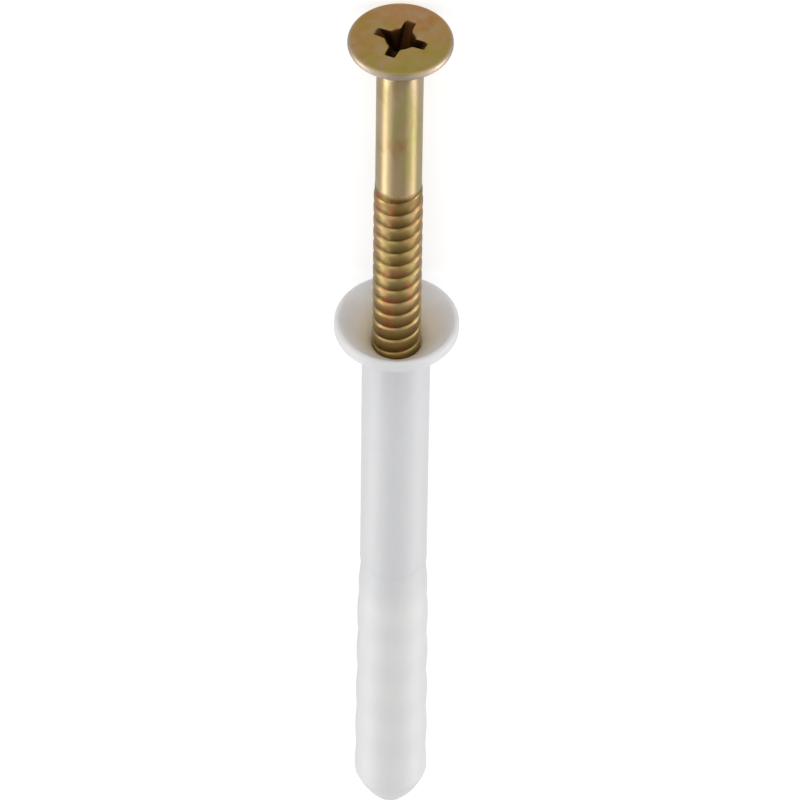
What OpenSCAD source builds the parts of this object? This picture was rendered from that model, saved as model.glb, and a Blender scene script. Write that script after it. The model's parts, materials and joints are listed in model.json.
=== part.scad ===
// Hammer fixing plug: a moulded sleeve with its drive screw standing part-way out, laid down at rest.
// Both pieces are drawn on one axis. z is the depth below the collar's rim, so the head has a negative z.

/* [Sleeve] */
// Length from the collar's rim to the end of the tip
sleeve_length = 80; // [70:0.5:120]
// Wall of the plain neck around the bore
neck_wall = 1; // [0.7:0.05:1.6]
// Depth at which the plain neck ends and the expansion zone begins
neck_end = 39; // [25:0.5:48]

/* [Collar] */
// Width of the rim, between the mouth and the outer edge
collar_wall = 0.65; // [0.55:0.05:1.5]
// Height of the rim's upright outer edge
collar_edge = 1.2; // [0.8:0.05:2]
// Included angle of the countersink and of the collar's underside
sink_angle = 90; // [75:1:105]
// Draft of the upright edges of the collar and of the screw's head, in degrees
edge_draft = 1.63; // [0:0.01:1.63]
// Radius that rounds the rim's outer edge
collar_round = 0.3; // [0.1:0.05:0.4]
// Radius that rounds the rim's inner edge
mouth_round = 0.2; // [0.05:0.05:0.25]

/* [Expansion zone] */
// Small ledge by which the neck stands out over the start of the zone
zone_step = 0.1; // [0.02:0.01:0.2]
// Length over which the zone flares out from the neck
zone_flare = 6.1; // [4:0.1:9]
// How far the zone swells out over the neck where the flare ends
zone_swell = 0.24; // [0.1:0.01:0.5]
// How far the closed ring below the zone swells out over the neck
ring_swell = 0.4; // [0.1:0.01:0.6]
// Length of the closed ring
ring_length = 1.8; // [1:0.1:3]
// Depth of the shallow waves between the windows
wave_depth = 0.1; // [0.02:0.01:0.2]

/* [Windows] */
// Distance from one window to the next
window_pitch = 6.6; // [5.6:0.1:10]
// Length of a window along the sleeve
window_length = 4; // [2.5:0.1:5]
// Widest opening of a window
window_width = 1.5; // [0.8:0.05:2.2]
// Width of the slit that joins the windows
slit_width = 0.4; // [0.2:0.05:0.7]
// Distance from the start of the zone to the start of the slit
slit_lead = 2; // [1:0.1:3]

/* [Tip] */
// Length of the conical tip
tip_length = 4.5; // [3:0.1:8]
// Diameter of the tip's end, before its edge is rounded
tip_end_d = 4; // [3:0.1:5]
// Radius that rounds the end of the tip
tip_round = 0.45; // [0.3:0.05:1.2]
// How far the side of the tip bulges out over a straight cone
tip_bulge = 0.2; // [0:0.05:0.3]
// Solid plastic under the screw's point when the screw is driven home
point_cover = 4.3; // [2.5:0.1:8]

/* [Screw] */
// How far the top of the head stands above the collar's rim
screw_out = 43.3; // [5:0.1:45]
// Diameter of the plain shank
shank_d = 5.1; // [4:0.05:6]
// Length from the top of the head to the start of the thread
plain_length = 21.5; // [10:0.5:40]
// Length of the conical point
point_length = 2.6; // [1.5:0.1:4]
// Diameter of the flat end of the point
point_end_d = 1.6; // [0.8:0.1:2.4]

/* [Head] */
// Diameter of the head
head_d = 11.4; // [9:0.1:13]
// Height of the head's upright edge
head_edge = 0.75; // [0.5:0.05:1.2]
// Radius that rounds the top edge of the head
head_round = 0.4; // [0.1:0.05:0.45]

/* [Recess] */
// Distance across two wings of the cross recess at the top
recess_span = 5.8; // [5:0.1:7.5]
// Distance across two wings at the bottom
recess_floor_span = 2; // [1.5:0.1:3]
// Depth of the wings
recess_depth = 2.9; // [2:0.1:3.4]
// Width of a wing
wing_width = 1.2; // [0.8:0.05:1.6]
// Diameter of the recess's core at the top
core_d = 3.2; // [2.4:0.1:4]
// Turn of the cross about the axis
recess_turn = 25; // [0:1:89]

/* [Thread] */
// Length of one turn
thread_pitch = 1.95; // [1.4:0.05:3]
// How far the crest stands out over the shank
crest_rise = 0.15; // [0.05:0.01:0.3]
// How far the root lies below the shank
root_sink = 0.04; // [0.02:0.01:0.3]
// Share of a turn taken by the steep flank, which faces the head
steep_share = 0.1; // [0.05:0.01:0.35]
// Share of a turn taken by the crest
crest_share = 0.4; // [0.05:0.01:0.5]
// Turns over which the thread rises from the shank, and dies out at the point
thread_run = 1.2; // [0.5:0.1:3]

/* [Fits] */
// Gap all round between the thread's crest and the bore
bore_gap = 0.1; // [0.05:0.01:0.25]
// Gap all round between the head and the mouth of the collar
mouth_gap = 0.6; // [0.4:0.05:1.2]
// Gap that stays between the head's cone and the countersink when the screw is driven home
seat_gap = 0.1; // [0.05:0.01:0.3]

/* [Rest] */
// Turn of the plug about its own axis, as it lies with the windows at its sides
rest_turn = 178; // [0:1:359]

/* [Hidden] */
$fn = 96;
nylon_colour = [0.87, 0.87, 0.88];
passivate_colour = [0.74, 0.61, 0.31];
arc_steps = 5;
wave_steps = 8;
tip_steps = 6;
thread_sides = 30;
spare_turns = 1;
lap = 0.3;
over = 1;

sink_slope = tan(sink_angle / 2);
head_r = head_d / 2;
shank_r = shank_d / 2;
crest_r = shank_r + crest_rise;
root_r = shank_r - root_sink;
bore_r = crest_r + bore_gap;
neck_r = bore_r + neck_wall;
ring_r = neck_r + ring_swell;
mouth_r = head_r + mouth_gap;
collar_r = mouth_r + collar_wall;
point_end_r = point_end_d / 2;
tip_end_r = tip_end_d / 2;

// Depth of the head's top when the screw is driven home, and the screw's length that follows from it
home_z = (mouth_gap - seat_gap / cos(sink_angle / 2)) / sink_slope - head_edge;
point_home_z = sleeve_length - point_cover;
screw_length = point_home_z - home_z;

// Places along the sleeve
tip_z = sleeve_length - tip_length;
ring_z = tip_z - ring_length;
first_window_z = neck_end + zone_flare;
window_count = floor((ring_z - window_length / 2 - first_window_z) / window_pitch) + 1;

// The arc that rounds the tip touches the flat end, and the cone from the ring touches it at tip_touch
tip_arc_z = sleeve_length - tip_round;
tip_flat_r = tip_end_r - tip_round;
tip_cone = [ring_r - tip_flat_r, tip_z - tip_arc_z];
tip_touch = atan2(tip_cone.y, tip_cone.x) + acos(tip_round / norm(tip_cone));
tip_start = [ring_r, tip_z];
tip_stop = [tip_flat_r, tip_arc_z] + tip_round * [cos(tip_touch), sin(tip_touch)];

// Places along the screw, counted from the top of its head
head_cone = (head_r - shank_r) / sink_slope;
point_z = screw_length - point_length;

// Centres of the arcs that round the head and the rim, below which the edge widens by its draft
head_arc_r = head_r - (head_edge - head_round) * tan(edge_draft) - head_round / cos(edge_draft);
collar_arc_r = collar_r - (collar_edge - collar_round) * tan(edge_draft) - collar_round / cos(edge_draft);

// The resting line touches the rounded edges of the head and of the collar, as a tangent to both arcs
rest_head = [head_round - screw_out, head_arc_r];
rest_collar = [collar_round, collar_arc_r];
rest_span = rest_collar - rest_head;
rest_tilt = atan2(rest_span.y, rest_span.x) + asin((collar_round - head_round) / norm(rest_span));
rest_height = rest_collar.y * cos(rest_tilt) - rest_collar.x * sin(rest_tilt) + collar_round;
low_x = rest_head.x * cos(rest_tilt) - rest_head.y * sin(rest_tilt) - head_round;
high_x = tip_arc_z * cos(rest_tilt) + tip_flat_r * sin(rest_tilt) + tip_round;

function clamp01(t) = min(max(t, 0), 1);
function smooth(t) = t * t * (3 - 2 * t);
function mix(a, b, t) = a + (b - a) * t;

// Points of an arc about c, from angle a to angle b
function arc(c, r, a, b) = [
    for (i = [0:arc_steps])
        c + r * [cos(mix(a, b, i / arc_steps)), sin(mix(a, b, i / arc_steps))]
];

// Radius of the expansion zone at depth z: it ramps up from the ledge, swells, and dents at the windows
function zone_share_at(z) = clamp01((z - first_window_z) / (ring_z - first_window_z));
function zone_swell_at(z) = mix(zone_swell, ring_swell, zone_share_at(z));
function zone_dent_at(z) = wave_depth * (1 + cos(360 * (z - first_window_z) / window_pitch)) / 2;
function zone_ramp_at(z) = smooth(clamp01((z - neck_end) / zone_flare));
function zone_r_at(z) =
    neck_r + mix(-zone_step, zone_swell_at(z), zone_ramp_at(z)) - zone_dent_at(z) * zone_ramp_at(z);

zone_steps = ceil((ring_z - neck_end) / window_pitch * wave_steps);
zone_profile = [
    for (i = [0:zone_steps - 1])
        let (z = mix(neck_end, ring_z, i / zone_steps))
        [zone_r_at(z), z]
];

// Side of the tip: the straight cone, pushed out by a bulge that is full half-way along
tip_profile = [
    for (i = [0:tip_steps - 1])
        let (t = i / tip_steps)
        mix(tip_start, tip_stop, t) + tip_bulge * sin(180 * t) * [cos(tip_touch), sin(tip_touch)]
];

// Half section of the sleeve, as radius and depth
sleeve_profile = concat(
    [[bore_r, (mouth_r - bore_r) / sink_slope]],
    arc([mouth_r + mouth_round, mouth_round], mouth_round, 180 + sink_angle / 2, 270),
    arc([collar_arc_r, collar_round], collar_round, 270, 360 - edge_draft),
    [
        [collar_r, collar_edge],
        [neck_r, collar_edge + (collar_r - neck_r) / sink_slope],
        [neck_r, neck_end]
    ],
    zone_profile,
    [[ring_r, ring_z]],
    tip_profile,
    arc([tip_flat_r, tip_arc_z], tip_round, tip_touch, 90),
    [
        [0, sleeve_length],
        [0, point_home_z + bore_gap],
        [point_end_r + bore_gap, point_home_z + bore_gap],
        [bore_r, point_home_z - point_length]
    ]
);

// Half section of the head and plain shank, counted from the top of the head
head_profile = concat(
    [[0, plain_length], [0, 0]],
    arc([head_arc_r, head_round], head_round, 270, 360 - edge_draft),
    [
        [head_r, head_edge],
        [shank_r, head_edge + head_cone],
        [shank_r, plain_length]
    ]
);

// Half section of the point, with the short plain collar that the thread dies out in
point_profile = [
    [0, point_z - lap],
    [root_r, point_z - lap],
    [root_r, point_z],
    [point_end_r, screw_length],
    [0, screw_length]
];

// One saw-tooth of the thread: share of the turn, and share of the rise from root to crest
tooth = [[0, 0], [steep_share, 1], [steep_share + crest_share, 1]];
tooth_points = len(tooth);
side_fit = cos(180 / thread_sides);
thread_first_z = plain_length - lap - spare_turns * thread_pitch;
thread_rows = ceil(thread_sides * ((point_z + lap - thread_first_z) / thread_pitch + spare_turns));
thread_last = thread_rows + thread_sides;

// Radius of the thread at a place on the tooth: from just under the shank to the tooth, then the root.
// At both ends its many sides lie just within the round piece that they run into.
function thread_r_at(z, rise) =
    let (
        full = mix(root_r, crest_r, rise),
        run = thread_run * thread_pitch,
        risen = mix(shank_r * side_fit, full, clamp01((z - plain_length) / run)),
        left = clamp01((point_z - lap - z) / run)
    )
    mix(root_r * side_fit, risen, left);

function thread_point(i, m) =
    let (
        z = thread_first_z + thread_pitch * (i / thread_sides + tooth[m][0]),
        r = thread_r_at(z, tooth[m][1]),
        a = 360 * i / thread_sides
    )
    [r * cos(a), r * sin(a), z];

// Number of point m on step i of the helix. The last point of a tooth is the next turn's first.
function thread_index(i, m) =
    m == tooth_points ? thread_index(i + thread_sides, 0)
    : i <= thread_rows ? i * tooth_points + m
    : (thread_rows + 1) * tooth_points + i - thread_rows - 1;

thread_points = concat(
    [for (i = [0:thread_rows], m = [0:tooth_points - 1]) thread_point(i, m)],
    [for (i = [thread_rows + 1:thread_last]) thread_point(i, 0)],
    [
        [0, 0, thread_first_z],
        [0, 0, thread_first_z + thread_pitch * thread_last / thread_sides]
    ]
);
start_hub = len(thread_points) - 2;
end_hub = len(thread_points) - 1;

thread_faces = concat(
    [
        for (i = [0:thread_rows - 1], m = [0:tooth_points - 1])
            [thread_index(i, m), thread_index(i, m + 1), thread_index(i + 1, m + 1)]
    ],
    [
        for (i = [0:thread_rows - 1], m = [0:tooth_points - 1])
            [thread_index(i, m), thread_index(i + 1, m + 1), thread_index(i + 1, m)]
    ],
    [for (i = [0:thread_sides - 1]) [thread_index(i, 0), thread_index(i + 1, 0), start_hub]],
    [for (m = [0:tooth_points - 1]) [thread_index(0, m + 1), thread_index(0, m), start_hub]],
    [for (i = [thread_rows:thread_last - 1]) [thread_index(i + 1, 0), thread_index(i, 0), end_hub]],
    [
        for (m = [0:tooth_points - 1])
            [thread_index(thread_rows, m), thread_index(thread_rows, m + 1), end_hub]
    ]
);

// Lays what is drawn on the axis down on the edges of the collar and the head, with the tip towards +X
module laid_down() {
    translate([-(low_x + high_x) / 2, 0, rest_height])
        rotate([0, 90 - rest_tilt, 0])
            rotate(rest_turn)
                children();
}

// Outline of one window: the lens between two equal arcs
module window_outline() {
    lens_r = (pow(window_length, 2) + pow(window_width, 2)) / (4 * window_width);
    intersection_for (side = [-1, 1])
        translate([side * (lens_r - window_width / 2), 0])
            circle(r = lens_r);
}

// Slit and windows as seen from the side, with the depth along y
module slit_outline() {
    slit_start = neck_end + slit_lead + slit_width / 2;
    slit_end = first_window_z + (window_count - 1) * window_pitch;
    translate([-slit_width / 2, slit_start])
        square([slit_width, slit_end - slit_start]);
    translate([0, slit_start])
        circle(d = slit_width);
    for (i = [0:window_count - 1])
        translate([0, first_window_z + i * window_pitch])
            window_outline();
}

module plug_sleeve() {
    color(nylon_colour)
        laid_down()
            difference() {
                rotate_extrude()
                    polygon(sleeve_profile);
                rotate([90, 0, 0])
                    linear_extrude(height = 2 * ring_r + 2 * over, center = true)
                        slit_outline();
            }
}

// One pair of wings, narrowing towards the bottom of the recess
module recess_wings() {
    rotate([90, 0, 0])
        linear_extrude(height = wing_width, center = true)
            polygon([
                [-recess_span / 2, -over],
                [-recess_span / 2, 0],
                [-recess_floor_span / 2, recess_depth],
                [recess_floor_span / 2, recess_depth],
                [recess_span / 2, 0],
                [recess_span / 2, -over]
            ]);
}

module cross_recess() {
    core_floor_d = wing_width;
    rotate(recess_turn) {
        recess_wings();
        rotate(90)
            recess_wings();
        cylinder(h = recess_depth + core_floor_d / 2, d1 = core_d, d2 = core_floor_d);
        translate([0, 0, -over])
            cylinder(h = over + lap, d = core_d);
    }
}

module saw_tooth_thread() {
    intersection() {
        polyhedron(thread_points, thread_faces);
        translate([0, 0, plain_length - lap])
            cylinder(h = point_z - plain_length + lap / 2, r = crest_r + over);
    }
}

module hammer_screw() {
    color(passivate_colour)
        laid_down()
            translate([0, 0, -screw_out]) {
                difference() {
                    rotate_extrude()
                        polygon(head_profile);
                    cross_recess();
                }
                saw_tooth_thread();
                rotate_extrude()
                    polygon(point_profile);
            }
}

plug_sleeve();
hammer_screw();
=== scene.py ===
# %% [markdown]
# # A hammer fixing plug
# A hammer fixing is two pieces that leave the shop already joined: a moulded nylon sleeve with a
# cup-shaped collar, and a nail screw that stands part-way out of it. The sleeve goes through a batten
# into a drilled hole, and a hammer drives the screw home, which spreads the slit end of the sleeve. The
# part lies on its collar and its head, as it would on a bench. The solids come from the CAD model, and
# each piece made here takes the place of one of them, in the same frame.

# %% Load the frame
import json
import math

import bmesh
import bpy
import numpy as np
from mathutils import Matrix, Vector


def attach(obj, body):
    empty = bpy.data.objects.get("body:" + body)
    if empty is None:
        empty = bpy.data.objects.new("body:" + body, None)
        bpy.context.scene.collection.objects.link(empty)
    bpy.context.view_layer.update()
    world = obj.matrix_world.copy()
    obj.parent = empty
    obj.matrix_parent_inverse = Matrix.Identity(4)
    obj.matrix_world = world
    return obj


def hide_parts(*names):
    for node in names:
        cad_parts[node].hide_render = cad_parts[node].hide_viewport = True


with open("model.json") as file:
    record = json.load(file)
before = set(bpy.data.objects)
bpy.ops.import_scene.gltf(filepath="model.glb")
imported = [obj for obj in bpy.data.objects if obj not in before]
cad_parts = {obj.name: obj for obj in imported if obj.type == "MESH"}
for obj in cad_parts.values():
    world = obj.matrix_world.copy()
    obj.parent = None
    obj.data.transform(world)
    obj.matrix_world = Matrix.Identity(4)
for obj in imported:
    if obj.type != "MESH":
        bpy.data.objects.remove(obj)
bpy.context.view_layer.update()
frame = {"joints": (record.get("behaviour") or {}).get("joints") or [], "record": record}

mm_per_m = 1000

# %% [markdown]
# ## One axis for both pieces
# The screw slides along the sleeve's own axis, so the joint's axis and the middle of the head's face,
# which the record gives as a mount, say where everything is. Shapes below are worked out in millimetres
# about that axis: x points down to the floor, y is the plug's left and right, and z is the depth. One
# function then carries them into the frame.

# %% The plug's axis
depth_axis = np.array(frame["joints"][0]["axis"], float)
depth_axis /= np.linalg.norm(depth_axis)
across_axis = np.array([0.0, 1.0, 0.0])
down_axis = np.cross(across_axis, depth_axis)
mounts = {mount["name"]: mount for mount in frame["record"]["mounts"]}
head_face = np.array(mounts["drive_recess"]["pos_m"], float)
screw_out = 43.3
rim_middle = head_face + depth_axis * screw_out / mm_per_m


def carried(x, y, z, start):
    """Points x, y, z in millimetres about the axis, as metres in the frame: start plus each
    number along its own axis."""
    x, y, z = np.broadcast_arrays(x, y, z)
    steps = x[..., None] * down_axis + y[..., None] * across_axis + z[..., None] * depth_axis
    return start + steps / mm_per_m


print("axis", np.round(depth_axis, 4).tolist(), "rim at", np.round(rim_middle * mm_per_m, 2).tolist(), "mm")

# %% [markdown]
# ## From a grid to a mesh
# Every shape here is a grid: its rows follow one another along the piece and its columns go round it, so
# one array of points and one array of four-cornered faces make the whole surface. Points that fall on
# one place, at a pole or a seam, are merged afterwards, which closes the skin, and the faces are then
# turned to look outwards. The print at the end counts the open edges, which have other than two faces:
# there should be none.

# %% Grid faces and the mesh
merge_distance = 2e-7


def grid_faces(index):
    """Faces of a grid of point numbers: a corner, the next column, the next of both, and the next row."""
    corners = [index[:-1, :-1], index[:-1, 1:], index[1:, 1:], index[1:, :-1]]
    return np.stack(corners, axis=-1).reshape(-1, 4)


def whole_numbers(items, label):
    """One whole number of each corner or face of a mesh, as an array."""
    values = np.empty(len(items), dtype=np.int32)
    items.foreach_get(label, values)
    return values


def closed_piece(name, points, faces, marks):
    """A smooth, closed mesh object from an array of points and an array of faces, with its doubles
    merged. marks gives named numbers, one for each point, which the materials can read. A face counts as
    two triangles fewer than it has corners."""
    mesh = bpy.data.meshes.new(name)
    mesh.from_pydata(points.reshape(-1, 3).tolist(), [], faces.tolist())
    for label, values in marks.items():
        attribute = mesh.attributes.new(label, "FLOAT", "POINT")
        attribute.data.foreach_set("value", values.astype(np.float32).ravel())
    skin = bmesh.new()
    skin.from_mesh(mesh)
    bmesh.ops.remove_doubles(skin, verts=skin.verts, dist=merge_distance)
    bmesh.ops.recalc_face_normals(skin, faces=skin.faces)
    skin.to_mesh(mesh)
    skin.free()
    mesh.shade_smooth()
    piece = bpy.data.objects.new(name, mesh)
    bpy.context.scene.collection.objects.link(piece)
    faces_on_edge = np.bincount(whole_numbers(mesh.loops, "edge_index"), minlength=len(mesh.edges))
    open_edges = np.count_nonzero(faces_on_edge != 2)
    triangles = (whole_numbers(mesh.polygons, "loop_total") - 2).sum()
    print(name, len(mesh.vertices), "points,", triangles, "triangles,", open_edges, "open edges")
    return piece


# %% [markdown]
# ## The screw's head and its cross recess
# The head is countersunk and its face carries a cross recess, pressed in by a punch. A cross is a star
# shape: from the middle, every direction meets its edge once. So the recess wall is a grid too, with the
# direction round the axis as one parameter and the depth as the other. Its columns are bunched so that
# one always falls on each corner of the cross, at every depth, which keeps the corners clear. Outside
# the recess the same columns run on over the face and down the shank.

# %% Columns round the axis
wing_count, wing_half = 4, 0.6
wing_top, wing_foot, wing_depth = 2.9, 1.0, 2.9
core_top, core_foot, core_depth = 1.6, 0.6, 3.5
corner_power, fillet_power = 14, 9
recess_turn = math.radians(23)
end_cells, side_cells, core_cells = 5, 6, 8

# From 0 to 1 a column lies on the end of a wing, from 1 to 2 on its side, and from 2 to 3 on the core
half_sector = np.concatenate([
    np.linspace(0, 1, end_cells, endpoint=False),
    np.linspace(1, 2, side_cells, endpoint=False),
    np.linspace(2, 3, core_cells + 1),
])
sector = np.concatenate([-half_sector[:0:-1], half_sector[:-1]])


def shrunk(top, foot, depth, full_depth):
    """A size that goes evenly from top to foot over a full depth: top plus the change times the share."""
    return top + (foot - top) * depth / full_depth


def cross_outline(depth):
    """Directions and radii of the cross at a depth, where its wings and its core have shrunk evenly. In
    a direction at angle a from a wing, the edge is the nearer of the wing's end, span / cos a, and its
    side, half width / sin a, and never less than the core. Powers round the corners: the nearer of two
    is the root of the sum of their inverse powers, and the further is the root of the sum of powers."""
    span = shrunk(wing_top, wing_foot, depth, wing_depth)
    core = shrunk(core_top, core_foot, depth, core_depth)
    between_wings = math.pi / wing_count
    end = math.atan2(wing_half, span)
    side = max(min(math.asin(min(wing_half / core, 1)), between_wings), end)
    angle = np.sign(sector) * np.interp(np.abs(sector), [0, 1, 2, 3], [0, end, side, between_wings])
    end_inverse = np.cos(angle) / span
    side_inverse = np.abs(np.sin(angle)) / wing_half
    wing = (end_inverse ** corner_power + side_inverse ** corner_power) ** (-1 / corner_power)
    radius = (wing ** fillet_power + core ** fillet_power) ** (1 / fillet_power)
    wing_turns = recess_turn + 2 * between_wings * np.arange(wing_count)[:, None]
    return (wing_turns + angle).ravel(), np.tile(radius, wing_count)


rim_angles, rim_radii = cross_outline(0.0)
print(len(rim_angles), "columns, the cross is", round(2 * rim_radii.max(), 2), "mm across")

# %% Rows of the recess
recess_soft = 0.2
soft_start, soft_rows, wall_rows = math.radians(70), 5, 12


def ring_rows(angles, profile):
    """Plain rings: each pair of the profile is a radius and a depth, carried round the
    axis at the angles."""
    return [(angles, np.full(angles.shape, radius), depth) for radius, depth in profile]


def recess_rows():
    """Rows from the middle of the recess's floor, up its wall and over its soft edge on to the face.
    At a turn t the soft edge lies out by its radius times one less sin t, and down by its radius
    times one less cos t."""
    wall = [(*cross_outline(depth), depth) for depth in np.linspace(wing_depth, recess_soft, wall_rows)]
    shelf_r = shrunk(core_top, core_foot, wing_depth, core_depth)
    floor_angles = wall[0][0]
    floor = ring_rows(floor_angles, [(0, core_depth), (core_foot, core_depth), (shelf_r, wing_depth)])
    soft_turns = np.linspace(soft_start, 0, soft_rows)
    outs = recess_soft * (1 - np.sin(soft_turns))
    downs = recess_soft * (1 - np.cos(soft_turns))
    soft = [(rim_angles, rim_radii + out, down) for out, down in zip(outs, downs)]
    return floor + wall + soft


recess = recess_rows()
print(len(recess), "rows in the recess")

# %% Rows of the head and shank
head_r, head_edge, head_round = 5.7, 0.75, 0.55
shank_r, plain_length, shank_lead = 2.55, 21.5, 2.0
edge_draft = math.radians(1.63)
face_rows, edge_rows, shank_rows = 9, 8, 9
face_first_share = 0.1
cone_radii = [4.6, 3.6]

# Steps in radius and depth that soften the edge under the head, and that fill the foot of its cone
lower_edge_steps = [[-0.004, -0.1], [-0.025, -0.01], [-0.09, 0.09]]
cone_foot_steps = [[0.3, -0.3], [0.11, -0.09], [0.035, 0.05], [0, 0.25]]


def arc_middle_r(outer_r, edge, rounding):
    """Radius of the middle of the arc that rounds a drafted upright edge: the outer radius, less what the
    draft takes from it over the edge below the arc, less the arc's own radius, which leans by the draft."""
    return outer_r - (edge - rounding) * math.tan(edge_draft) - rounding / math.cos(edge_draft)


def on_cone(radii, foot_r, foot_z):
    """Points of a cone that narrows at 45 degrees to its foot: the foot's depth less the extra radius."""
    radii = np.array(radii)
    return np.stack([radii, foot_z - (radii - foot_r)], axis=1)


face_r = arc_middle_r(head_r, head_edge, head_round)
face_start = rim_radii + recess_soft
face_shares = np.linspace(face_first_share, 1, face_rows)
face = [(rim_angles, face_start + (face_r - face_start) * share, 0.0) for share in face_shares]
edge_turns = np.linspace(0, math.pi / 2 - edge_draft, edge_rows + 1)[1:]
edge = np.stack([face_r + head_round * np.sin(edge_turns), head_round * (1 - np.cos(edge_turns))], axis=1)
lower_edge = np.array([head_r, head_edge]) + lower_edge_steps
cone_foot = head_edge + head_r - shank_r
cone = on_cone(cone_radii, shank_r, cone_foot)
fillet = np.array([shank_r, cone_foot]) + cone_foot_steps
shank_z = np.linspace(cone_foot + shank_lead, plain_length, shank_rows)
shank = np.stack([np.full(shank_rows, shank_r), shank_z], axis=1)
top_rows = recess + face + ring_rows(rim_angles, np.concatenate([edge, lower_edge, cone, fillet, shank]))
print(len(top_rows), "rows from the recess to the end of the shank")

# %% [markdown]
# ## The saw-tooth thread
# The thread is rolled: its steep flank faces the head and holds, and its long flank faces the point, so
# that a hammer can drive it in. Its rows follow the helix, so that the sharp crest lies along one row
# and never cuts across a face. Where a row comes round to the first column it has climbed by one turn,
# and joins the row one turn further on. At both ends a strip that grows from nothing to a full turn
# fills the wedge between the helix and a plain ring. The tooth's third column says how pale each part of
# it is left: the finish reads that later and paints shade down the long flank into the root, so that the
# steep flank and the crest stay light, as painted highlights.

# %% Helical rows
sleeve_length, point_cover = 80.0, 4.3
mouth_gap, seat_gap = 0.6, 0.1
point_length, point_clear = 2.6, 0.15
root_r, crest_r = 2.51, 2.7
thread_pitch, thread_run = 1.95, 1.2

# Each point of the tooth is a share of a turn, a share of the rise from root to crest, and a paleness,
# which holds off the painted shade of the root
tooth_place, tooth_rise, tooth_pale = np.array([
    [0, 0.02, 0.5], [0.018, 0.15, 0.8], [0.05, 0.5, 1], [0.082, 0.85, 1], [0.1, 0.96, 1],
    [0.125, 0.995, 0.95], [0.18, 1, 0.8], [0.28, 1, 0.62], [0.38, 0.985, 0.5], [0.46, 0.95, 0.42],
    [0.54, 0.87, 0.35], [0.66, 0.66, 0.22], [0.82, 0.34, 0.08], [0.94, 0.1, 0], [0.975, 0.035, 0.1],
]).T

# The screw's length follows from where its point and its head stop in the sleeve when it is driven home
point_home = sleeve_length - point_cover
head_home = mouth_gap - seat_gap * math.sqrt(2) - head_edge
screw_length = point_home - head_home
point_z = screw_length - point_length
turns = int((point_z - point_clear - plain_length) / thread_pitch) - 1
thread_end = plain_length + (turns + 1) * thread_pitch
around = (np.append(rim_angles, rim_angles[0] + 2 * math.pi) - rim_angles[0]) / (2 * math.pi)


def thread_surface():
    """Radius, depth and paleness on a grid of helix rows and columns. A row's depth is its place in
    turns, plus the share of a turn that its column has gone round, times the pitch. The radius goes from
    root to crest as the tooth rises, and is faded in from the shank and out to the root. The first and
    last turn are squeezed to a plain ring."""
    last = turns + 1
    place = np.append((np.arange(-1, last)[:, None] + tooth_place).ravel(), last)[:, None]
    rise = np.append(np.tile(tooth_rise, last + 1), tooth_rise[0])[:, None]
    pale = np.append(np.tile(tooth_pale, last + 1), tooth_pale[0])[:, None]
    left = last - place
    depth = np.where(place < 0, (place + 1) * around, place + around)
    depth = np.where(left < 1, last - left * (1 - around), depth)
    fade_in = np.clip(depth / thread_run, 0, 1)
    fade_out = np.clip((last - depth) / thread_run, 0, 1)
    tooth_r = root_r + (crest_r - root_r) * rise
    radius = shank_r + (tooth_r - shank_r) * fade_in
    radius = root_r + (radius - root_r) * fade_out
    return radius, plain_length + thread_pitch * depth, pale * fade_in


thread_radius, thread_depth, thread_pale = thread_surface()
print(turns, "full turns, thread ends at", round(thread_end, 2), "of", round(point_z, 2), "mm")

# %% [markdown]
# ## The screw as one skin
# The rings of the head, the helix and the rings of the point all have the same columns, so their rows
# simply follow one another in one grid. The mesh also carries five marks, which are numbers from 0 to 1
# at each point: pale on the crests and steep flanks, which the painted shade of the roots spares, rolled
# along the thread, sunk in the recess, whose colour is a painted shade, top on the head's face, and worn
# on its rim. The finish reads them, so its changes lie exactly where the shape changes.

# %% Screw mesh
point_end_r, point_soft = 0.8, 0.06
point_waist_r, point_waist_share = 1.6, 0.49
worn_run_in, worn_end, worn_run_out = 0.2, 0.95, 0.15
rolled_run_in = 0.6
column_order = np.append(np.arange(len(rim_angles)), 0)
point_rows = ring_rows(rim_angles, [
    (root_r, (thread_end + point_z) / 2),
    (root_r, point_z),
    (point_waist_r, point_z + point_waist_share * point_length),
    (point_end_r, screw_length - point_soft),
    (point_end_r - point_soft, screw_length),
    (0, screw_length),
])


def stacked(rows, part):
    """One part of every row, its angle, radius or depth, as an array whose last column
    repeats the first."""
    return np.stack([np.broadcast_to(row[part], rim_angles.shape) for row in rows])[:, column_order]


def screw_grid():
    """Angle, radius, depth and paleness of all rows: the rings above, the helix, and the
    rings of the point."""
    helix_angle = np.broadcast_to(rim_angles[column_order], thread_radius.shape)
    angle = np.concatenate([stacked(top_rows, 0), helix_angle, stacked(point_rows, 0)])
    radius = np.concatenate([stacked(top_rows, 1), thread_radius, stacked(point_rows, 1)])
    depth = np.concatenate([stacked(top_rows, 2), thread_depth, stacked(point_rows, 2)])
    pale = np.zeros(angle.shape)
    pale[len(top_rows):-len(point_rows)] = thread_pale
    return angle, radius, depth, pale


def screw_marks(radius, depth, pale):
    """The five marks. Each fades with the depth, held between 0 and 1: sunk only on the rows of
    the recess, and worn only outside the flat face, fading in below its level and out again past
    the edge under the head."""
    in_recess = np.arange(len(depth))[:, None] < len(recess)
    worn_in = np.clip(depth / worn_run_in, 0, 1)
    worn_out = np.clip((worn_end - depth) / worn_run_out, 0, 1)
    return {
        "pale": pale,
        "rolled": np.clip((depth - plain_length) / rolled_run_in, 0, 1),
        "sunk": in_recess * np.clip(depth / recess_soft, 0, 1),
        "top": np.clip(1 - depth / head_round, 0, 1),
        "worn": (radius > face_r) * worn_in * worn_out,
    }


angle, radius, depth, pale = screw_grid()
screw_points = carried(radius * np.cos(angle), radius * np.sin(angle), depth, head_face)
screw_faces = grid_faces(np.arange(angle.size).reshape(angle.shape))
nail_screw = closed_piece("nail_screw", screw_points, screw_faces, screw_marks(radius, depth, pale))
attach(nail_screw, "screw")
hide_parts("hammer_screw")

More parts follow.
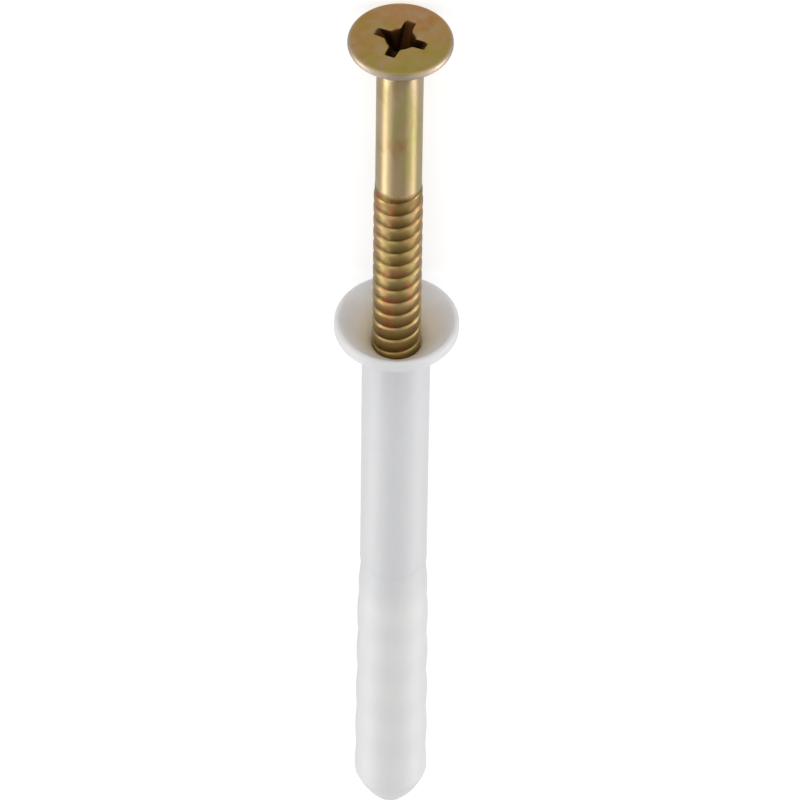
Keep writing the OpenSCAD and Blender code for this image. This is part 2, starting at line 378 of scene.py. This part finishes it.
# %% [markdown]
# ## The moulded sleeve
# The sleeve is one moulding: a cup collar, a plain neck, an expansion zone with a slit and five
# lens-shaped windows down each side, a closed ring and a round-nosed tip. A half section carried round
# the axis gives its skin, inside and out. The skin is made as two half shells, upper and lower, whose
# edges draw apart by the width of the slit and the windows and meet where the sleeve is closed. Narrow
# walls then join the inner and the outer skin along the openings.

# %% Sleeve sizes
bore_gap, neck_wall, neck_end = 0.1, 1.0, 39.0
collar_wall, collar_edge, collar_round, mouth_round = 0.65, 1.2, 0.3, 0.2
zone_step, zone_flare, zone_swell, ring_swell, wave_depth = 0.1, 6.1, 0.24, 0.4, 0.1
ring_length, tip_length, tip_end_r, tip_round, tip_bulge = 1.8, 4.5, 2.0, 0.45, 0.2
window_pitch, window_count, window_length, window_width = 6.6, 5, 4.0, 1.5
slit_width, slit_lead = 0.4, 2.0

bore_r = crest_r + bore_gap
neck_r = bore_r + neck_wall
ring_r = neck_r + ring_swell
mouth_r = head_r + mouth_gap
collar_r = mouth_r + collar_wall
tip_flat_r = tip_end_r - tip_round
tip_z = sleeve_length - tip_length
ring_z = tip_z - ring_length
first_window = neck_end + zone_flare
window_middles = first_window + window_pitch * np.arange(window_count)
slit_start = neck_end + slit_lead + slit_width / 2
print("collar and neck are", np.round([2 * collar_r, 2 * neck_r], 2).tolist(), "mm across")

# %% Zone and openings
mould_line, mould_line_depth, mould_line_width = 17.5, 0.022, 0.16
zone_start, zone_rows, slit_nose_rows = 0.02, 232, 6
just_inside = 0.999
same_place_digits = 4


def smooth(t):
    """A soft step from 0 to 1: three times t squared less two times t cubed, with t held
    between 0 and 1."""
    t = np.clip(t, 0, 1)
    return t * t * (3 - 2 * t)


def window_wave(z):
    """A wave along the sleeve that is 1 at each window and -1 half-way between two: the
    cosine of the depth."""
    return np.cos(2 * math.pi * (z - first_window) / window_pitch)


def zone_radius(z):
    """Radius of the expansion zone: it flares from a small ledge, swells to the ring, and is
    dented at each window."""
    ramp = smooth((z - neck_end) / zone_flare)
    swell_share = np.clip((z - first_window) / (ring_z - first_window), 0, 1)
    swell = zone_swell + (ring_swell - zone_swell) * swell_share
    dent = wave_depth * (1 + window_wave(z)) / 2
    return neck_r - zone_step + (zone_step + swell) * ramp - dent * ramp


def neck_radius(z):
    """Radius of the plain neck, less the faint groove that the mould's joint leaves: a
    bell curve about it."""
    return neck_r - mould_line_depth * np.exp(-((z - mould_line) / mould_line_width) ** 2)


def half_opening(z):
    """Half width of the opening at a depth: the wider of the slit, with its round start, and the lens of
    a window. Two equal arcs bound a lens: its half width is the root of their radius squared less the
    distance squared, less what their radius has over half the window's width."""
    lens_r = (window_length ** 2 + window_width ** 2) / (4 * window_width)
    off = z[:, None] - window_middles
    lens = np.sqrt(np.clip(lens_r ** 2 - off ** 2, 0, None)) - (lens_r - window_width / 2)
    lens = np.clip(lens, 0, None).max(axis=1)
    slit_half = slit_width / 2
    before = np.clip(slit_start - z, 0, slit_half)
    slit = np.sqrt(np.clip(slit_half ** 2 - before ** 2, 0, None))
    slit = np.where((z > slit_start - slit_half) & (z < window_middles[-1]), slit, 0)
    return np.maximum(lens, slit)


def in_order(*parts):
    """The given depths in order, each once: those that agree to the named number of digits are one."""
    return np.unique(np.round(np.concatenate(parts), same_place_digits))


window_half = window_length / 2
window_ends = window_middles[:, None] + window_half * just_inside * np.array([-1, 1])
slit_nose = slit_start - slit_width / 2 * np.cos(np.linspace(0, math.pi / 2, slit_nose_rows))
even_rows = np.linspace(neck_end + zone_start, ring_z, zone_rows)
zone_z = in_order(even_rows, slit_nose, window_ends.ravel(), window_middles[-1:] + window_half)
opening = half_opening(zone_z)
print(len(zone_z), "rows in the zone, opening up to", round(2 * opening.max(), 2), "mm")

# %% Tip and ring of the half section
arc_rows, tip_rows = 9, 12
end_ring_r = 0.8

# Steps in radius and depth that soften the ring's edge towards the tip, and rows on the plain ring
ring_edge_steps = [[-0.03, 0.02], [0, -0.12], [0, -0.6], [0, -1.2]]


def arc(middle_r, middle_z, radius, start, stop, steps):
    """Points of an arc about a middle, as radius and depth, from one angle in degrees to another."""
    turn = np.radians(np.linspace(start, stop, steps))
    return np.stack([middle_r + radius * np.cos(turn), middle_z + radius * np.sin(turn)], axis=1)


def tip_outline():
    """Nose and side of the tip. An arc rounds the end, and a line touches it on its way up to the ring.
    The line is pushed outwards by the bulge times the sine of half a turn times the share of the way."""
    arc_z = sleeve_length - tip_round
    from_arc = np.array([ring_r - tip_flat_r, tip_z - arc_z])
    touch = math.atan2(from_arc[1], from_arc[0]) + math.acos(tip_round / np.linalg.norm(from_arc))
    nose = arc(tip_flat_r, arc_z, tip_round, 90, math.degrees(touch), arc_rows)
    share = np.linspace(0, 1, tip_rows + 2)[1:-1, None]
    side = nose[-1] + (np.array([ring_r, tip_z]) - nose[-1]) * share
    outwards = np.array([math.cos(touch), math.sin(touch)])
    return np.concatenate([nose, side + tip_bulge * np.sin(math.pi * share) * outwards])


outer_below = np.concatenate([
    [[0, sleeve_length], [end_ring_r, sleeve_length]],
    tip_outline(),
    np.array([ring_r, tip_z]) + ring_edge_steps,
])
outer_zone = np.stack([zone_radius(zone_z), zone_z], axis=1)[::-1]
print(len(outer_below), "rows in the tip and the ring")

# %% Neck, collar and cup of the half section
ledge_length, ledge_run, ledge_share, ledge_rows = 0.11, 0.12, 0.95, 7
neck_lead, neck_rows, mould_line_reach, mould_line_rows = 0.4, 26, 0.45, 13
collar_radii, cup_radii = [4.3, 5.2, 6.2, 6.83], [5.6, 4.7, 3.7]
mouth_rows, bore_top, bore_rows = 6, 6.0, 12

# Steps in radius and depth that fill the collar's foot, soften the edge under it and soften the cup's foot
collar_foot_steps = [[0.03, 0.07], [0.1, -0.11]]
collar_edge_steps = [[-0.025, 0], [-0.004, -0.12], [-0.015, -0.5]]
cup_foot_steps = [[0.07, -0.07], [0.02, 0.01], [0, 0.1]]

collar_foot = collar_edge + collar_r - neck_r
collar_arc_r = arc_middle_r(collar_r, collar_edge, collar_round)
cup_foot = mouth_r - bore_r

# The cup's cone starts at the radius where the arc that rounds the mouth ends
cup_cone_r = mouth_r + mouth_round * (1 - math.sqrt(0.5))

ledge_z = np.linspace(neck_end, neck_end - ledge_length, ledge_rows)
ledge_fall = smooth((ledge_z - neck_end) / ledge_run + ledge_share)
ledge = np.stack([neck_r - zone_step * ledge_fall, ledge_z], axis=1)
mould_line_z = mould_line + np.linspace(-mould_line_reach, mould_line_reach, mould_line_rows)
even_neck_z = np.linspace(collar_foot + neck_lead, neck_end, neck_rows)

# The neck's last row would be the ledge's first, so it is left out
neck_z = in_order(even_neck_z, mould_line_z)[:-1][::-1]
neck = np.stack([neck_radius(neck_z), neck_z], axis=1)
collar = np.concatenate([
    np.array([neck_r, collar_foot]) + collar_foot_steps,
    on_cone(collar_radii, neck_r, collar_foot),
    np.array([collar_r, collar_edge]) + collar_edge_steps,
    arc(collar_arc_r, collar_round, collar_round, -math.degrees(edge_draft), -90, arc_rows),
    arc(mouth_r + mouth_round, mouth_round, mouth_round, -90, -135, mouth_rows),
])
cup_and_bore = np.concatenate([
    on_cone(cup_radii, bore_r, cup_cone_r - bore_r),
    np.array([bore_r, cup_foot]) + cup_foot_steps,
    np.stack([np.full(bore_rows, bore_r), np.linspace(bore_top, neck_end, bore_rows)], axis=1),
])
outer_above = np.concatenate([ledge, neck, collar, cup_and_bore])
print(len(outer_above), "rows from the ledge over the rim and down to the end of the plain bore")

# %% The whole half section
cone_row_r = 1.9

# Driven home, the head's face stands out of the rim by this much, rounded to a tenth of a millimetre
home_rise = round(-head_home, 1)
bore_end = screw_length - home_rise + bore_gap
bore_end_r = point_end_r + bore_gap
bore_cone = screw_length - home_rise - point_length


def bore_radius(z):
    """The bore is plain, then narrows as a cone to a little more than the end of the screw's point."""
    return np.interp(z, [0, bore_cone, bore_end], [bore_r, bore_r, bore_end_r])


inner_zone = np.stack([bore_radius(zone_z), zone_z], axis=1)
cone_row_z = np.interp(cone_row_r, [bore_end_r, bore_r], [bore_end, bore_cone])
inner_below = np.array([[cone_row_r, cone_row_z], [bore_end_r, bore_end], [0, bore_end]])
section = np.concatenate([outer_below, outer_zone, outer_above, inner_zone, inner_below])
first_outer = len(outer_below)
first_inner = first_outer + len(outer_zone) + len(outer_above)
outer_rows = slice(first_outer, first_outer + len(zone_z))
inner_rows = slice(first_inner, first_inner + len(zone_z))
cup_rows = slice(first_inner - len(cup_and_bore), first_inner)
gap = np.zeros(len(section))
gap[outer_rows] = opening[::-1]
gap[inner_rows] = opening
print(len(section), "rows in the half section")

# %% Sleeve mesh
shell_columns = 44
rest_turn = math.radians(178)
# Where the painted glow of the slit zone starts past the neck, how long it fades in, and how much it waves
painted_glow_lead, painted_glow_run, painted_glow_wave = 2.0, 4.0, 0.25
section_r, section_z = section[:, :1], section[:, 1:]

# Stands in for the radius at the two poles, so that nothing is divided by zero
smallest_r = 1e-6


def sleeve_skin():
    """Two half shells and the walls of their openings. A shell's columns run from one edge of the
    opening to the other: the angle is a share of a quarter turn less the angle that half the opening
    takes at that radius."""
    share = np.linspace(-1, 1, shell_columns + 1)
    taken = np.arcsin(np.clip(gap[:, None] / np.maximum(section_r, smallest_r), 0, 1))
    upper = (math.pi / 2 - taken) * share + rest_turn
    angle = np.stack([upper, upper + math.pi])
    points = carried(section_r * np.cos(angle), section_r * np.sin(angle), section_z, rim_middle)
    index = np.arange(angle.size).reshape(angle.shape)
    skin = [grid_faces(shell) for shell in index]
    outside = index[:, outer_rows][:, ::-1]
    inside = index[:, inner_rows]
    is_open = (opening[:-1] > 0) | (opening[1:] > 0)
    for shell in (0, 1):
        for side in (0, -1):
            wall = np.stack([outside[shell, :, side], inside[shell, :, side]], axis=1)
            skin.append(grid_faces(wall)[is_open])
    return points, np.concatenate(skin)


def sleeve_marks(shape):
    """Two marks of painted light, from 0 to 1: cup, a painted warm bounce from the screw, grows from the
    mouth to the bore, and glow, a painted glow, fades in along the slit zone and waves with the windows."""
    in_cup = np.zeros(section_r.shape)
    in_cup[cup_rows] = 1
    cup = in_cup * smooth((mouth_r - section_r) / (mouth_r - bore_r))
    wave = 1 - painted_glow_wave + painted_glow_wave * window_wave(section_z)
    glow = smooth((section_z - neck_end - painted_glow_lead) / painted_glow_run) * wave
    return {"cup": np.broadcast_to(cup, shape), "glow": np.broadcast_to(glow, shape)}


sleeve_points, sleeve_faces = sleeve_skin()
nylon_marks = sleeve_marks(sleeve_points.shape[:-1])
moulded_sleeve = closed_piece("moulded_sleeve", sleeve_points, sleeve_faces, nylon_marks)
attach(moulded_sleeve, "sleeve")
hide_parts("plug_sleeve")

# %% [markdown]
# ## Effects that both finishes share
# Nylon and passivated zinc are both uneven when you look closely: the colour clouds softly, and handling
# leaves the gloss a little patchy. Each effect is a node group with named inputs, built once, and each
# material gives it its own values.

# %% Node helpers
screen_white = 255
straight_until, straight_slope, curve_shift, curve_power = 0.04045, 12.92, 0.055, 2.4


def paint(red, green, blue):
    """A colour as a screen shows it, 0 to 255, in the linear numbers that Blender's nodes use: the
    standard curve of screens, which is straight near black and a power above it."""
    shown = np.array([red, green, blue]) / screen_white
    curved = ((shown + curve_shift) / (1 + curve_shift)) ** curve_power
    linear = np.where(shown <= straight_until, shown / straight_slope, curved)
    return (*linear.tolist(), 1.0)


def put(tree, kind, links=None, **values):
    """A node with its properties and input values set, and its inputs linked from the given sockets."""
    node = tree.nodes.new(kind)
    for key, value in values.items():
        setattr(node, key, value)
    for socket, source in (links or {}).items():
        if isinstance(source, bpy.types.NodeSocket):
            tree.links.new(source, node.inputs[socket])
        else:
            node.inputs[socket].default_value = source
    return node


def new_group(name, inputs, outputs):
    """An empty shader node group with the given named sockets, and its input and output nodes. An input
    that starts with three numbers is a vector, and any other socket is a single number."""
    group = bpy.data.node_groups.new(name, "ShaderNodeTree")
    for label, value in inputs.items():
        kind = "NodeSocketVector" if isinstance(value, tuple) else "NodeSocketFloat"
        group.interface.new_socket(label, in_out="INPUT", socket_type=kind).default_value = value
    for label in outputs:
        group.interface.new_socket(label, in_out="OUTPUT", socket_type="NodeSocketFloat")
    return group, group.nodes.new("NodeGroupInput"), group.nodes.new("NodeGroupOutput")


print("a middle grey of 128 is", round(paint(128, 128, 128)[0], 3), "in linear numbers")

# %% Soft patches
drawn_out = (0.3, 1, 1)


def make_soft_patches():
    """Cloudy mask: noise on the object's own coordinates, drawn out along the plug, shifted, and
    spread between two levels."""
    inputs = {"Scale": 400.0, "Shift": (0, 0, 0), "Swirl": 0.0, "Low": 0.45, "High": 0.6}
    group, into, out = new_group("soft_patches", inputs, ["Mask"])
    place = put(group, "ShaderNodeTexCoord").outputs["Object"]
    drawn = put(group, "ShaderNodeVectorMath", {0: place, 1: drawn_out}, operation="MULTIPLY")
    shift = into.outputs["Shift"]
    moved = put(group, "ShaderNodeVectorMath", {0: drawn.outputs[0], 1: shift}, operation="ADD")
    noise = put(group, "ShaderNodeTexNoise", {
        "Vector": moved.outputs[0],
        "Scale": into.outputs["Scale"],
        "Detail": 3.0,
        "Distortion": into.outputs["Swirl"],
    })
    level = put(group, "ShaderNodeMapRange", {
        "Value": noise.outputs["Fac"],
        "From Min": into.outputs["Low"],
        "From Max": into.outputs["High"],
    }, interpolation_type="SMOOTHSTEP")
    group.links.new(level.outputs["Result"], out.inputs["Mask"])
    return group


soft_patches = make_soft_patches()
print("group", soft_patches.name)

# %% Handling marks
def make_handling_marks():
    """Gloss that varies a little, and a fine unevenness: a middle value plus a spread times noise less a
    half, and the noise alone."""
    inputs = {"Scale": 1500.0, "Gloss": 0.3, "Spread": 0.15}
    group, into, out = new_group("handling_marks", inputs, ["Roughness", "Height"])
    place = put(group, "ShaderNodeTexCoord").outputs["Object"]
    noise = put(group, "ShaderNodeTexNoise", {
        "Vector": place,
        "Scale": into.outputs["Scale"],
        "Detail": 2.0,
        "Roughness": 0.5,
    }).outputs["Fac"]
    centred = put(group, "ShaderNodeMath", {0: noise, 1: 0.5}, operation="SUBTRACT").outputs[0]
    spread = put(group, "ShaderNodeMath", {
        0: centred,
        1: into.outputs["Spread"],
        2: into.outputs["Gloss"],
    }, operation="MULTIPLY_ADD").outputs[0]
    group.links.new(spread, out.inputs["Roughness"])
    group.links.new(noise, out.inputs["Height"])
    return group


handling_marks = make_handling_marks()
print("group", handling_marks.name)

# %% Material helpers
def new_material(name, **fixed):
    """A material with a Principled shader, whose fixed values sit on the shader's own sockets."""
    material = bpy.data.materials.new(name)
    material.use_nodes = True
    shader = material.node_tree.nodes["Principled BSDF"]
    for label, value in fixed.items():
        shader.inputs[label.replace("_", " ")].default_value = value
    return material, material.node_tree, shader


def patches(tree, **values):
    """The mask of the soft patches, with the material's own values."""
    return put(tree, "ShaderNodeGroup", values, node_tree=soft_patches).outputs["Mask"]


def handled(tree, shader, strength, distance, **values):
    """The handling marks with the material's own values. Their height is linked to the shader as a bump
    with the given strength and distance, and their roughness is given back."""
    node = put(tree, "ShaderNodeGroup", values, node_tree=handling_marks)
    bump = put(tree, "ShaderNodeBump", {
        "Height": node.outputs["Height"],
        "Strength": strength,
        "Distance": distance,
    })
    tree.links.new(bump.outputs["Normal"], shader.inputs["Normal"])
    return node.outputs["Roughness"]


def mark(tree, label):
    """A mark that the mesh carries, as a mask."""
    return put(tree, "ShaderNodeAttribute", attribute_name=label, attribute_type="GEOMETRY").outputs["Fac"]


def blended(tree, first, second, share):
    """Two colours mixed by a mask. Each is a colour or another node's output."""
    return put(tree, "ShaderNodeMix", {"Factor": share, 6: first, 7: second}, data_type="RGBA").outputs[2]


def times(tree, first, second):
    """One value times another."""
    return put(tree, "ShaderNodeMath", {0: first, 1: second}, operation="MULTIPLY").outputs[0]


def raised(tree, value, mask, amount):
    """A value raised by an amount where a mask is full: the mask times the amount, plus the value."""
    return put(tree, "ShaderNodeMath", {0: mask, 1: amount, 2: value}, operation="MULTIPLY_ADD").outputs[0]


print("each finish can now use", soft_patches.name, "and", handling_marks.name)

# %% [markdown]
# ## White nylon
# Moulded nylon is milky: light goes in, scatters, and comes out a millimetre or two away, which softens
# every edge and lets the collar glow. Subsurface scattering does this. The colour clouds a very little,
# and the moulded skin is satin. Two marks that the mesh carries paint light into the colour. The cup is
# painted warmer near the screw, as painted bounce light from the gold that shines back into it, and the
# slit zone is painted paler in waves, as a painted glow for the light that comes through its thin wall.

# %% Nylon material
nylon_white, nylon_cloud = paint(230, 230, 231), paint(227, 227, 229)
# Painted light: a warm bounce from the screw's gold in the cup, and a paler glow in the slit zone
nylon_painted_bounce, nylon_painted_glow = paint(253, 240, 222), paint(237, 236, 235)
nylon, tree, shader = new_material(
    "milky_nylon", Subsurface_Weight=0.8, Subsurface_Radius=(1.0, 0.95, 0.9), Subsurface_Scale=0.002,
    IOR=1.53)
colour = blended(tree, nylon_white, nylon_cloud, patches(tree, Scale=70.0, Low=0.3, High=0.75))
# Painted bounce light from the screw's gold, warmest in the cup near the bore
colour = blended(tree, colour, nylon_painted_bounce, mark(tree, "cup"))
# Painted glow: the slit zone is painted paler, most at each window, for light coming through its wall
colour = blended(tree, colour, nylon_painted_glow, mark(tree, "glow"))
satin = handled(tree, shader, strength=0.05, distance=0.0002, Scale=900.0, Gloss=0.46, Spread=0.12)
tree.links.new(colour, shader.inputs["Base Color"])
tree.links.new(satin, shader.inputs["Roughness"])
moulded_sleeve.data.materials.append(nylon)
print("material", nylon.name)

# %% [markdown]
# ## Yellow passivate
# The steel is zinc plated and dipped, which leaves a thin film that is mostly gold, with olive, rose and
# orange-brown clouds where the film is thicker or thinner. Three cloudy masks of different size tint the
# gold, one after another. The marks that the mesh carries do the rest. The head's face drained from
# orange to olive as it dried, with rose and olive blooms, and its rim is worn pale. The thread is tinted a
# richer gold, and a painted shade darkens it down each long flank into the root, with reddish streaks in
# the film, so that the crests and steep flanks stay light as painted highlights. The recess is dull, and
# its dark colour is a painted shade.

# %% Film of the passivate
film_gold, film_olive = paint(190, 168, 128), paint(174, 163, 104)
film_rose, film_brown = paint(193, 156, 130), paint(178, 140, 90)
passivate, tree, shader = new_material("yellow_passivate", Metallic=1.0)
olive = patches(tree, Scale=300.0, Shift=(0.3, 0.1, 0.7), Swirl=0.6, Low=0.42, High=0.68)
rose = patches(tree, Scale=420.0, Shift=(0.9, 0.4, 0.2), Swirl=0.8, Low=0.48, High=0.74)
brown = patches(tree, Scale=520.0, Shift=(0.2, 0.8, 0.5), Swirl=0.5, Low=0.48, High=0.76)
film = blended(tree, film_gold, film_olive, olive)
film = blended(tree, film, film_rose, rose)
film = blended(tree, film, film_brown, brown)
print("material", passivate.name)

# %% Face and rim of the head
face_orange, face_olive = paint(188, 122, 56), paint(166, 146, 30)
face_rose, face_tarnish, rim_pale = paint(186, 146, 104), paint(160, 148, 10), paint(188, 173, 160)
drain_low, drain_high = 0.002, 0.0105
face_share, rim_share = 0.6, 0.75
place = put(tree, "ShaderNodeTexCoord").outputs["Object"]
height = put(tree, "ShaderNodeSeparateXYZ", {0: place}).outputs["Z"]
drained = put(tree, "ShaderNodeMapRange", {
    "Value": height,
    "From Min": drain_low,
    "From Max": drain_high,
}).outputs["Result"]
bloom = patches(tree, Scale=560.0, Shift=(0.6, 0.2, 0.9), Swirl=0.7, Low=0.44, High=0.7)
tarnish = patches(tree, Scale=640.0, Shift=(0.1, 0.6, 0.4), Swirl=0.7, Low=0.44, High=0.68)
worn = mark(tree, "worn")
face_film = blended(tree, face_orange, face_olive, drained)
face_film = blended(tree, face_film, face_rose, bloom)
face_film = blended(tree, face_film, face_tarnish, times(tree, tarnish, drained))
colour = blended(tree, film, face_film, times(tree, mark(tree, "top"), face_share))
colour = blended(tree, colour, rim_pale, times(tree, worn, rim_share))
print("head's face drains from", drain_high * mm_per_m, "to", drain_low * mm_per_m, "mm above the floor")

# %% Thread and recess
# The root's dark colour is painted shade, mixed with the film's own reddish streaks; the paleness spares
# the crests and steep flanks, which stay light as painted highlights
crest_gold, root_painted_shade, root_red = paint(202, 168, 104), paint(110, 87, 30), paint(154, 80, 46)
# The recess's dark colours are painted shade, going from orange to olive down the head
recess_shade_orange, recess_shade_olive = paint(106, 62, 34), paint(58, 56, 26)
crest_gold_share, root_least = 0.4, 0.15
rolled = mark(tree, "rolled")
sunk = mark(tree, "sunk")
colour = blended(tree, colour, crest_gold, times(tree, rolled, crest_gold_share))
root = put(tree, "ShaderNodeMapRange", {
    "Value": mark(tree, "pale"),
    "From Min": 1.0,
    "From Max": 0.0,
    "To Min": root_least,
    "To Max": 1.0,
}).outputs["Result"]
streak = patches(tree, Scale=620.0, Shift=(0.5, 0.35, 0.15), Swirl=0.4, Low=0.5, High=0.66)
root_shade_and_streaks = blended(tree, root_painted_shade, root_red, streak)
recess_painted_shade = blended(tree, recess_shade_orange, recess_shade_olive, drained)
# Painted shade down each long flank into the thread's root
colour = blended(tree, colour, root_shade_and_streaks, times(tree, rolled, root))
# Painted shade in the recess, whose dull gloss is its own
colour = blended(tree, colour, recess_painted_shade, sunk)
print("thread and recess tinted,", len(tree.nodes), "nodes so far")

# %% Gloss of the passivate
rolled_dulls, worn_dulls, sunk_dulls = 0.06, 0.14, 0.3
gloss = handled(tree, shader, strength=0.03, distance=0.0001, Scale=1400.0, Gloss=0.3, Spread=0.1)
gloss = raised(tree, gloss, rolled, rolled_dulls)
gloss = raised(tree, gloss, worn, worn_dulls)
gloss = raised(tree, gloss, sunk, sunk_dulls)
tree.links.new(colour, shader.inputs["Base Color"])
tree.links.new(gloss, shader.inputs["Roughness"])
nail_screw.data.materials.append(passivate)
print("material", passivate.name, "has", len(tree.nodes), "nodes")

# %% [markdown]
# ## Floor, cards and lamps
# The plug lies on a plain white floor under soft studio light. To the camera the floor is lifted to
# white, and it still shows the soft shadow. Bright metal only shows what stands round it, so a studio
# uses cards. Four of them show in gloss alone: one beyond the tip and one overhead give the screw its
# darker middle, one on the floor brightens its underside, and one in front sets the tone of the head's
# face. Three strip lamps beyond the tip draw the long highlights, and two large ones light the sides.
# The lamps overhead and in front light the nylon, and are hidden from gloss.

# %% Floor and world
white = (1, 1, 1, 1)
floor_paper_grey, floor_lift = paint(225, 225, 225), 0.5
floor_half, floor_drop = 3, 0.0001
sky_light, sky_seen = 0.5, 1.0


def flat_sheet(name, middle, side, other):
    """A rectangle about a middle point, with half its width along one vector and half its
    height along another."""
    u, v = np.meshgrid([-1.0, 1.0], [-1.0, 1.0])
    points = np.array(middle) + u[..., None] * np.array(side) + v[..., None] * np.array(other)
    mesh = bpy.data.meshes.new(name)
    mesh.from_pydata(points.reshape(-1, 3).tolist(), [], [[0, 1, 3, 2]])
    sheet = bpy.data.objects.new(name, mesh)
    bpy.context.scene.collection.objects.link(sheet)
    return sheet


def seen_directly(tree):
    """1 for rays from the camera, and for those that come by a reflection or through glass, else 0."""
    path = put(tree, "ShaderNodeLightPath").outputs
    camera_or_gloss = put(tree, "ShaderNodeMath", {
        0: path["Is Camera Ray"],
        1: path["Is Glossy Ray"],
    }, operation="MAXIMUM").outputs[0]
    return put(tree, "ShaderNodeMath", {
        0: camera_or_gloss,
        1: path["Is Transmission Ray"],
    }, operation="MAXIMUM").outputs[0]


def bare_material(name):
    """A material with no nodes yet, and its node tree."""
    material = bpy.data.materials.new(name)
    material.use_nodes = True
    material.node_tree.nodes.clear()
    return material, material.node_tree


floor = flat_sheet("floor", middle=(0, 0, -floor_drop), side=(floor_half, 0, 0), other=(0, floor_half, 0))
floor_paper, tree = bare_material("floor_paper")
matt = put(tree, "ShaderNodeBsdfDiffuse", {"Color": floor_paper_grey})
lift_where_seen = times(tree, seen_directly(tree), floor_lift)
lift = put(tree, "ShaderNodeEmission", {"Color": white, "Strength": lift_where_seen})
lifted = put(tree, "ShaderNodeAddShader", {0: matt.outputs[0], 1: lift.outputs[0]})
put(tree, "ShaderNodeOutputMaterial", {"Surface": lifted.outputs[0]})
floor.data.materials.append(floor_paper)

world = bpy.data.worlds.new("studio")
bpy.context.scene.world = world
world.use_nodes = True
tree = world.node_tree
sky = tree.nodes["Background"]
sky.inputs["Color"].default_value = white
level = put(tree, "ShaderNodeMapRange", {
    "Value": seen_directly(tree),
    "To Min": sky_light,
    "To Max": sky_seen,
})
tree.links.new(level.outputs["Result"], sky.inputs["Strength"])
print("floor", 2 * floor_half, "m wide, world lights at", sky_light)

# %% Cards
def reflected_card(name, grey, middle, side, other):
    """A card that no lamp and no camera sees: it shows only in gloss, as a plain grey."""
    sheet = flat_sheet(name, middle, side, other)
    sheet.visible_camera = False
    sheet.visible_diffuse = False
    sheet.visible_shadow = False
    sheet.visible_transmission = False
    card, tree = bare_material(name)
    glow = put(tree, "ShaderNodeEmission", {"Color": paint(grey, grey, grey), "Strength": 1.0})
    put(tree, "ShaderNodeOutputMaterial", {"Surface": glow.outputs[0]})
    sheet.data.materials.append(card)
    print("card", name, "of grey", grey)


reflected_card("far_card", grey=165, middle=(0.55, 0, 0.36), side=(0, 0.37, 0), other=(0, 0, 0.34))
reflected_card("near_card", grey=211, middle=(-0.13, 0, 0.0004), side=(0.33, 0, 0), other=(0, 0.2, 0))
reflected_card("top_card", grey=165, middle=(-0.05, 0, 0.8), side=(0.55, 0, 0), other=(0, 0.3, 0))
reflected_card("front_card", grey=120, middle=(-0.9, 0, 0.75), side=(0, 0.22, 0), other=(0, 0, 0.55))

# %% Lamps
plug_middle = Vector((0.0, 0.0, 0.007))


def area_lamp(name, place, size, power, in_gloss=True):
    """A rectangular lamp at a place, turned to look at the plug. in_gloss says if reflections show it."""
    lamp = bpy.data.lights.new(name, "AREA")
    lamp.shape = "RECTANGLE"
    lamp.size, lamp.size_y = size
    lamp.energy = power
    lamp_object = bpy.data.objects.new(name, lamp)
    lamp_object.location = place
    lamp_object.rotation_euler = (plug_middle - Vector(place)).to_track_quat("-Z", "Y").to_euler()
    lamp_object.visible_camera = False
    lamp_object.visible_glossy = in_gloss
    bpy.context.scene.collection.objects.link(lamp_object)
    print("lamp", name, "of", power, "W")


area_lamp("left_strip", place=(0.42, -0.38, 0.12), size=(0.14, 0.20), power=0.22)
area_lamp("right_strip", place=(0.42, 0.38, 0.10), size=(0.16, 0.18), power=0.145)
area_lamp("thread_strip", place=(0.51, -0.25, 0.19), size=(0.10, 0.10), power=0.12)
area_lamp("left_side", place=(0.0, -0.6, 0.12), size=(0.5, 0.2), power=1.1)
area_lamp("right_side", place=(0.0, 0.6, 0.12), size=(0.5, 0.2), power=1.25)
area_lamp("overhead", place=(-0.15, 0.0, 0.75), size=(0.6, 0.6), power=0.7, in_gloss=False)
area_lamp("front_fill", place=(-0.9, 0.0, 0.33), size=(0.5, 0.3), power=1.45, in_gloss=False)

# %% [markdown]
# ## Camera
# The photograph looks along the plug from the head's end, from far off with a long lens. The plug's axis
# leans about 47 degrees out of the picture, and since the head shows at the top, the camera is rolled
# half a turn. All numbers follow from where the collar, the head and the tip fall in the frame.

# %% Camera
axis_lean, roll = math.radians(46.84), math.radians(-0.84)
frame_px, focal_px, sensor_mm, camera_away = 800, 8060, 36, 0.9
aim_depth, aim_across = 13.04, 0.50
nearest_seen, furthest_seen = 0.05, 20
up_axis = -down_axis
look = depth_axis * math.sin(axis_lean) - up_axis * math.cos(axis_lean)
picture_up = -(depth_axis * math.cos(axis_lean) + up_axis * math.sin(axis_lean))
picture_right = np.cross(look, picture_up)
target = rim_middle + (depth_axis * aim_depth + picture_right * aim_across) / mm_per_m
turned_up = picture_up * math.cos(roll) + picture_right * math.sin(roll)
turned_right = np.cross(look, turned_up)
facing = np.stack([turned_right, turned_up, -look], axis=1)
lens = bpy.data.cameras.new("camera")
lens.sensor_width = sensor_mm
lens.lens = sensor_mm * focal_px / frame_px
lens.clip_start, lens.clip_end = nearest_seen, furthest_seen
camera = bpy.data.objects.new("camera", lens)
stand = Matrix.Translation(Vector(target - look * camera_away))
camera.matrix_world = stand @ Matrix(facing.tolist()).to_4x4()
bpy.context.scene.collection.objects.link(camera)
bpy.context.scene.camera = camera
bpy.context.scene.view_settings.view_transform = "Standard"
print("camera", round(lens.lens, 1), "mm at", np.round(camera.location, 3).tolist())
